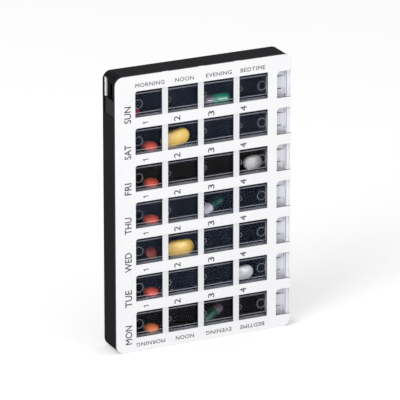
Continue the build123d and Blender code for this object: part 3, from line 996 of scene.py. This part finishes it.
@dataclass
class Doses:
    """The tablets and capsules in the trays, each in place of its plain solid. Turns in degrees."""

    round_tablet: TabletShape = TabletShape(11.0, 11.0, 6.4)
    small_tablet: TabletShape = TabletShape(8.2, 8.2, 5.4)
    oblong_tablet: TabletShape = TabletShape(20.5, 11.4, 6.6, 1.2, 1.0)
    oval_tablet: TabletShape = TabletShape(13.4, 9.8, 6.0, 1.2, 1.0)
    capsule: CapsuleShape = CapsuleShape()
    red: FilmCoat = FilmCoat("red_tablet", (0.68, 0.095, 0.055), (0.6, 0.075, 0.045))
    brick: FilmCoat = FilmCoat("brick_tablet", (0.42, 0.05, 0.03), (0.36, 0.038, 0.024))
    # painted shade: a darker red for Sunday's round tablet, which lies in shadow in its cell's corner
    crimson: FilmCoat = FilmCoat("crimson_tablet", (0.3, 0.015, 0.022), (0.24, 0.01, 0.016))
    orange: FilmCoat = FilmCoat("orange_tablet", (0.8, 0.22, 0.07), (0.72, 0.18, 0.055))
    yellow: FilmCoat = FilmCoat("yellow_tablet", (0.84, 0.6, 0.13), (0.7, 0.4, 0.05))
    white: FilmCoat = FilmCoat("white_tablet", (0.94, 0.93, 0.92), (0.9, 0.89, 0.87))
    green_shell: Gelatine = Gelatine("green_gelatine", (0.006, 0.2, 0.1), (0.004, 0.15, 0.075))
    dark_shell: Gelatine = Gelatine("dark_green_gelatine", (0.003, 0.075, 0.042), (0.002, 0.05, 0.03))
    # painted shade: the pale body is given darker copies on Monday and Sunday, for the shade those bodies lie
    # in
    body_shells: tuple[tuple[Day, Gelatine], ...] = (
        (Day.MONDAY, Gelatine("grey_gelatine", (0.15, 0.125, 0.15), (0.12, 0.1, 0.125))),
        (Day.THURSDAY, Gelatine("white_gelatine", (0.62, 0.56, 0.64), (0.54, 0.48, 0.57))),
        (Day.SUNDAY, Gelatine("smoky_gelatine", (0.09, 0.085, 0.11), (0.07, 0.065, 0.085))),
    )
    lean: float = 50.0
    level_share: float = 0.125
    tilts: tuple[tuple[str, float], ...] = (
        ("oblong_tablet_wednesday", 0.0),
        ("oblong_tablet_saturday", 13.0),
        ("oval_tablet_tuesday", 3.0),
        ("oval_tablet_friday", 6.0),
    )

    def build(self) -> None:
        """Make every dose at the middle of the solid that it stands for."""
        red, yellow, white = (film.material() for film in (self.red, self.yellow, self.white))
        others = {
            Day.MONDAY: self.orange.material(),
            Day.WEDNESDAY: self.brick.material(),
            # Sunday's round tablet takes the red darkened by painted shade
            Day.SUNDAY: self.crimson.material(),
        }
        bright, dark = self.green_shell.material(), self.dark_shell.material()
        for day in Day:
            self.add_round(day, others.get(day, red))
        for node, tilt in self.tilts:
            oblong = node.startswith("oblong")
            shape = self.oblong_tablet if oblong else self.oval_tablet
            across = Vector((cos(radians(tilt)), 0, sin(radians(tilt))))
            shell = shape.shell().placed(across, Vector((0, -1, 0)), self.middle(node))
            slot = "yellow_tablet" if oblong else "white_tablet"
            self.add(node, shell, yellow if oblong else white, slot)
        # Monday's and Sunday's bodies take the darker copies of painted shade
        for day, shell in self.body_shells:
            self.add_capsule(day, bright if day is Day.SUNDAY else dark, shell.material())

    def middle(self, node: str) -> Vector:
        """The middle of a node's box."""
        low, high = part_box(node)
        return (low + high) / 2

    def add(self, node: str, shell: Shell, material: Material, slot: str) -> None:
        """Add a dose that stands for a node, on the tray of the day that ends its name."""
        day = node.rsplit("_", 1)[1]
        add_piece(f"{node}_coated", shell, material, f"{day}_tray", (node,))

    def add_round(self, day: Day, material: Material) -> None:
        """Add a day's round tablet, flat but for the small one, which leans on its rim.

        Args:
            day: The day.
            material: The tablet's finish.
        """
        small = day is Day.WEDNESDAY
        slope = radians(self.lean if small else 0)
        shape = self.small_tablet if small else self.round_tablet
        node = f"round_tablet_{day.node}"
        up = Vector((0, -sin(slope), cos(slope)))
        shell = shape.shell().placed(Vector((1, 0, 0)), up, self.middle(node))
        self.add(node, shell, material, "orange_tablet" if day is Day.MONDAY else "red_tablet")

    def end_centre(self, node: str, diameter: float, way: Vector) -> Vector:
        """Find the centre of a capsule half's round end.

        An axis along which the way is less than a share of the radius counts as level.

        Args:
            node: The half's node.
            diameter: The half's diameter in millimetres.
            way: Where the end lies, as seen from the joint.

        Returns:
            A point one radius inside the node's box on each side that the end lies towards, and else midway.
        """
        low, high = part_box(node)
        radius = diameter / 2 * MM
        least = radius * self.level_share
        return Vector(
            [
                hi - radius if step > least else lo + radius if step < -least else (lo + hi) / 2
                for lo, hi, step in zip(low, high, way)
            ]
        )

    def add_capsule(self, day: Day, green: Material, pale: Material) -> None:
        """Add a day's capsule: a green cap and a pale body that meet at the joint between their boxes.

        Args:
            day: The day.
            green: The cap's finish.
            pale: The body's finish.
        """
        cap_node, body_node = f"capsule_cap_{day.node}", f"capsule_body_{day.node}"
        shape = self.capsule
        towards_cap = self.middle(cap_node) - self.middle(body_node)
        cap_end = self.end_centre(cap_node, shape.cap, towards_cap)
        line = cap_end - self.end_centre(body_node, shape.body, -towards_cap)
        way = line.normalized()
        side = way.orthogonal().normalized()
        cap_length = line.length * shape.cap_length / (shape.cap_length + shape.body_length)
        joint = cap_end - way * cap_length
        cap = shape.half(shape.cap, cap_length, True)
        body = shape.half(shape.body, line.length - cap_length, False)
        self.add(cap_node, cap.placed(side, way, joint), green, "green_gelatine")
        self.add(body_node, body.placed(side, -way, joint), pale, "white_gelatine")


@dataclass
class DayTrays:
    """The seven clear trays with their catches and lids, each row in its own tone. Sizes in millimetres."""

    # The last colour in each tone is the painted shade on its lid's ridge.
    navy: ClearTone = ClearTone((0.94, 0.95, 0.98), (0.2, 0.35, 0.8), 0.007, (0.13, 0.145, 0.2))
    black: ClearTone = ClearTone((0.92, 0.92, 0.93), (0.05, 0.05, 0.05), 0.003, (0.03, 0.03, 0.035))
    dusk: ClearTone = ClearTone((0.92, 0.92, 0.95), (0.08, 0.08, 0.16), 0.004, (0.15, 0.15, 0.25))
    ring_inset_left: float = 8.2
    ring_inset_right: float = 6.1
    cell_ring_offset: float = 3.9
    end_ring: float = 6.4
    cell_ring: float = 3.6
    cells: CellGrid = CellGrid()
    edge: float = 0.12

    def rings(self) -> tuple[tuple[float, float], ...]:
        """Place the rings that are moulded into a lid: a large one at each end, with small ones between.

        Returns:
            Each ring's place along the lid in metres, and its diameter in millimetres.
        """
        cells = self.cells
        ends = [cells.start(0) + self.ring_inset_left, cells.start(cells.columns) - self.ring_inset_right]
        inner = [cells.start(column) + self.cell_ring_offset for column in range(1, cells.columns)]
        sized = [(place, self.end_ring) for place in ends] + [(place, self.cell_ring) for place in inner]
        return tuple((place * MM, diameter) for place, diameter in sized)

    def dress(self) -> None:
        """Finish each day's tray, catch and lid."""
        tones = {Day.FRIDAY: self.black, Day.MONDAY: self.dusk}
        rings = self.rings()
        for day in Day:
            tone = tones.get(day, self.navy)
            tray = TrayPlastic(f"clear_tray_{day.node}", tone, day.height).material()
            dress(f"tray_{day.node}", tray, self.edge)
            dress(f"tray_catch_{day.node}", tray)
            lid = LidPlastic(f"clear_lid_{day.node}", tone, day.height, ring_places=rings)
            dress(f"lid_{day.node}", lid.material(), self.edge)


@dataclass
class Words:
    """How a printed word is set.

    Sizes in millimetres, the turn in degrees, the weight and the half thickness in the font's unit.
    """

    text: str
    middle_x: float
    middle_z: float
    width: float
    height: float
    turn: float = 0.0
    weight: float = 0.0
    spacing: float = 1.0
    half_thick: float = 0.5
    curve_steps: int = 5

    def shell(self, face: float, proud: float) -> Shell:
        """Make the word's letters as thin solids on the cover's face.

        The letters' mesh is taken from a text curve, stretched to the word's width and height, turned in the
        face's plane and set on it.

        Args:
            face: The face's place along Y, in metres.
            proud: How far the letters stand out from it, in millimetres.

        Returns:
            The letters' surface in the box's frame.
        """
        curve = bpy.data.curves.new("letters", "FONT")
        curve.body = self.text
        curve.bevel_depth = self.weight
        curve.bevel_resolution = 0
        curve.space_character = self.spacing
        curve.resolution_u = self.curve_steps
        curve.extrude = self.half_thick
        holder = bpy.data.objects.new("letters", curve)
        bpy.context.scene.collection.objects.link(holder)
        bpy.context.view_layer.update()
        mesh = bpy.data.meshes.new_from_object(holder.evaluated_get(bpy.context.evaluated_depsgraph_get()))
        points = np.empty(len(mesh.vertices) * 3)
        mesh.vertices.foreach_get("co", points)
        points = points.reshape(-1, 3)
        faces = [list(polygon.vertices) for polygon in mesh.polygons]
        bpy.data.objects.remove(holder)
        bpy.data.curves.remove(curve)
        bpy.data.meshes.remove(mesh)
        low, high = points.min(axis=0), points.max(axis=0)
        flat = (points - (low + high) / 2) / (high - low) * (self.width, self.height, proud)
        turn = radians(self.turn)
        x = flat[:, 0] * cos(turn) - flat[:, 1] * sin(turn) + self.middle_x
        z = flat[:, 0] * sin(turn) + flat[:, 1] * cos(turn) + self.middle_z
        y = face / MM - proud / 2 - flat[:, 2]
        return Shell(np.stack([x, y, z], axis=-1) * MM, faces)


@dataclass
class CoverPrint:
    """The generic words on the cover: times of day, days and cell numbers. Sizes in millimetres."""

    ink: PrintInk = PrintInk("print_ink", (0.035, 0.035, 0.04), (0.09, 0.09, 0.1))
    cells: CellGrid = CellGrid()
    times: tuple[tuple[str, float, float], ...] = (
        ("MORNING", -39.9, 21.3),
        ("NOON", -14.5, 13.6),
        ("EVENING", 11.0, 19.1),
        ("BEDTIME", 36.3, 18.4),
    )
    time_height: float = 2.8
    time_weight: float = 0.01
    time_spacing: float = 1.1
    top_line: float = 189.0
    bottom_line: float = 4.8
    day_lengths: tuple[float, ...] = (13.7, 12.2, 13.9, 12.0, 8.4, 10.2, 11.8)
    day_height: float = 5.0
    day_weight: float = 0.012
    day_place: float = -56.3
    day_drop: float = 6.5
    number_height: float = 4.7
    number_width: float = 3.4
    number_weight: float = 0.009
    number_offsets: tuple[float, ...] = (12.5, 9.2, 8.0, 5.6)
    number_drop: float = 13.75
    one_stem: tuple[float, float] = (0.6, 3.9)
    one_rise: float = 0.5
    one_flag: tuple[float, float] = (0.5, 1.5)
    flag_shift: tuple[float, float] = (-1.3, -0.1)
    flag_turn: float = 41.0
    proud: float = 0.03

    def build(self) -> None:
        """Print the words in three pieces."""
        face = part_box("front_cover")[0].y
        material = self.ink.material()
        pieces = (
            ("printed_times", self.set_times()),
            ("printed_days", self.set_days()),
            ("printed_numbers", self.set_numbers()),
        )
        for name, group in pieces:
            shell = Shell.joined([word.shell(face, self.proud) for word in group])
            add_piece(name, shell, material, "case")

    def set_times(self) -> list[Words]:
        """Set the times of day, along the top and, upside down, along the bottom.

        Returns:
            The words, line by line.
        """
        return [
            Words(text, x, line, width, self.time_height, turn, self.time_weight, self.time_spacing)
            for line, turn in ((self.top_line, 0.0), (self.bottom_line, 2 * UPWARDS))
            for text, x, width in self.times
        ]

    def set_days(self) -> list[Words]:
        """Set the days' names, each beside its row.

        Returns:
            The words, from the lowest row up.
        """
        x, height, weight = self.day_place, self.day_height, self.day_weight
        return [
            Words(day.value, x, day.height / MM - self.day_drop, length, height, UPWARDS, weight)
            for day, length in zip(Day, self.day_lengths)
        ]

    def set_numbers(self) -> list[Words]:
        """Set the cells' numbers under the rows.

        Returns:
            The words, row by row.
        """
        words = []
        for day in Day.numbered():
            level = day.height / MM - self.number_drop
            for column, offset in enumerate(self.number_offsets):
                words += self.set_number(column + 1, self.cells.start(column) + offset, level)
        return words

    def set_number(self, value: int, x: float, z: float) -> list[Words]:
        """Set a cell's number, turned to read upwards.

        Args:
            value: The number, whose 1 is a stem with a flag, as the font's own is a plain bar.
            x: Its middle across the cover, in millimetres.
            z: Its middle's height, in millimetres.

        Returns:
            The words that draw it.
        """
        if value > 1:
            size = self.number_width, self.number_height
            return [Words(str(value), x, z, *size, UPWARDS, self.number_weight)]
        across, up = self.flag_shift
        stem = Words("I", x, z + self.one_rise, *self.one_stem, turn=UPWARDS)
        return [stem, Words("I", x + across, z + up, *self.one_flag, turn=self.flag_turn)]


@dataclass
class RaisedDots:
    """The raised reading dots on the cover, moulded with it. Sizes in millimetres."""

    cells: CellGrid = CellGrid()
    diameter: float = 1.5
    rise: float = 0.42
    sink: float = 0.05
    around: int = 24
    steps: int = 8
    pitch: float = 2.75
    number_patterns: tuple[tuple[tuple[int, int], ...], ...] = (
        ((0, 0),),
        ((0, 0), (1, 0)),
        ((0, 0), (0, 1)),
        ((0, 0), (0, 1), (1, 1)),
    )
    first_dots: tuple[float, ...] = (18.3, 15.0, 15.2, 11.2)
    number_drop: float = 14.25
    day_dots: int = 2
    day_place: float = -54.7
    day_rise: float = 3.4

    def dome(self) -> Shell:
        """Work out one dot: a flat foot disc under a dome.

        The dome's radius is the dot's times the cosine of the angle from its foot, and its height is the rise
        times the sine.

        Returns:
            The closed surface, with the cover's face at its origin.
        """
        angle = np.linspace(0, pi / 2, self.steps)
        radius = np.concatenate([[0.0], self.diameter / 2 * np.cos(angle).clip(0)])
        height = np.concatenate([[-self.sink], (self.rise + self.sink) * np.sin(angle) - self.sink])
        return carried(circle(self.around), np.stack([radius, height], axis=-1) * MM)

    def places(self) -> list[tuple[float, float]]:
        """Place the dots above the days' names and beside the numbers.

        Returns:
            Each dot's place across the cover and its height.
        """
        places = [
            (self.day_place, day.height / MM + self.day_rise + step * self.pitch)
            for day in Day
            for step in range(self.day_dots)
        ]
        for day in Day.numbered():
            level = day.height / MM - self.number_drop
            for column, pattern in enumerate(self.number_patterns):
                first = self.cells.start(column) + self.first_dots[column]
                places += [(first + along * self.pitch, level + up * self.pitch) for along, up in pattern]
        return places

    def build(self, material: Material) -> None:
        """Set the dots on the cover as one piece.

        Args:
            material: The dots' plastic.
        """
        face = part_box("front_cover")[0].y
        dome = self.dome()
        across, outwards = Vector((1, 0, 0)), Vector((0, -1, 0))
        dots = [dome.placed(across, outwards, Vector((x * MM, face, z * MM))) for x, z in self.places()]
        add_piece("raised_dots", Shell.joined(dots), material, "case")


@dataclass(frozen=True)
class Lamp:
    """A flat soft lamp that faces the box: its place, width and height in metres, and its power in watts."""

    name: str
    place: Place
    size: tuple[float, float]
    power: float

    def build(self, target: Place) -> None:
        """Add the lamp.

        Args:
            target: The point that it faces.
        """
        lamp = bpy.data.lights.new(self.name, "AREA")
        lamp.shape = "RECTANGLE"
        lamp.size, lamp.size_y = self.size
        lamp.energy = self.power
        holder = bpy.data.objects.new(self.name, lamp)
        holder.location = self.place
        holder.rotation_euler = (Vector(target) - Vector(self.place)).to_track_quat("-Z", "Y").to_euler()
        bpy.context.scene.collection.objects.link(holder)


@dataclass
class Studio:
    """The pale floor, the plain soft light and the camera.

    Places and reaches are in metres, turns in degrees, the lens and its sensor in millimetres.
    """

    floor: StudioFloor = StudioFloor("pale_floor", (0.86, 0.86, 0.87), 0.26)
    floor_reach: float = 30.0
    sky: float = 0.7
    seen_sky: float = 1.0
    lamps: tuple[Lamp, ...] = (
        Lamp("soft_lamp", (-1.4, -0.75, 1.25), (0.9, 0.9), 16.8),
        Lamp("glint_lamp", (0.61, -1.355, 0.37), (0.08, 0.9), 3.0),
    )
    lamp_target: Place = (0.0, 0.0, 0.1)
    camera_place: Place = (-1.28932, -2.71995, 1.15645)
    camera_yaw: float = 25.395
    camera_pitch: float = 19.377
    camera_roll: float = -0.017
    camera_lens: float = 424.48
    camera_sensor: float = 36.0

    def build(self) -> None:
        """Set up everything round the box."""
        self.add_floor()
        self.add_sky()
        for lamp in self.lamps:
            lamp.build(self.lamp_target)
        self.add_camera()

    def add_floor(self) -> None:
        """A wide plain floor at the box's foot."""
        reach = self.floor_reach
        corners = [(-reach, -reach, 0), (reach, -reach, 0), (reach, reach, 0), (-reach, reach, 0)]
        mesh = bpy.data.meshes.new("studio_floor")
        mesh.from_pydata(corners, [], [[0, 1, 2, 3]])
        mesh.materials.append(self.floor.material())
        floor = bpy.data.objects.new("studio_floor", mesh)
        bpy.context.scene.collection.objects.link(floor)

    def add_sky(self) -> None:
        """Even light from all round, which camera, mirror and glass rays see as white."""
        graph = ShaderGraph("plain_sky", world=True)
        light, white = (
            graph.add("ShaderNodeBackground", sockets={0: WHITE, 1: strength}).outputs[0]
            for strength in (self.sky, self.seen_sky)
        )
        seen = graph.rays("Camera", "Glossy", "Transmission")
        bpy.context.scene.world = graph.finish(graph.mix_shaders(seen, light, white))

    def add_camera(self) -> None:
        """The camera, which looks along its yaw and pitch, a little rolled."""
        yaw, pitch, roll = (radians(turn) for turn in (self.camera_yaw, self.camera_pitch, self.camera_roll))
        forward = Vector((sin(yaw) * cos(pitch), cos(yaw) * cos(pitch), -sin(pitch)))
        level = Vector((cos(yaw), -sin(yaw), 0))
        upright = level.cross(forward)
        right = level * cos(roll) + upright * sin(roll)
        up = upright * cos(roll) - level * sin(roll)
        camera = bpy.data.cameras.new("camera")
        camera.lens = self.camera_lens
        camera.sensor_width = self.camera_sensor
        holder = bpy.data.objects.new("camera", camera)
        turned = Matrix((right, up, -forward)).transposed().to_4x4()
        holder.matrix_world = Matrix.Translation(Vector(self.camera_place)) @ turned
        bpy.context.scene.collection.objects.link(holder)
        bpy.context.scene.camera = holder


def main() -> None:
    """Dress the frame, build the pieces that it lacks and set up the studio."""
    logging.basicConfig(level=logging.INFO, format="%(message)s")
    bpy.context.scene.view_settings.view_transform = "Standard"
    Studio().build()
    dots = CaseShell().dress()
    SideLock().dress()
    DayTrays().dress()
    Doses().build()
    CoverPrint().build()
    RaisedDots().build(dots)


if __name__ == "__main__":
    main()
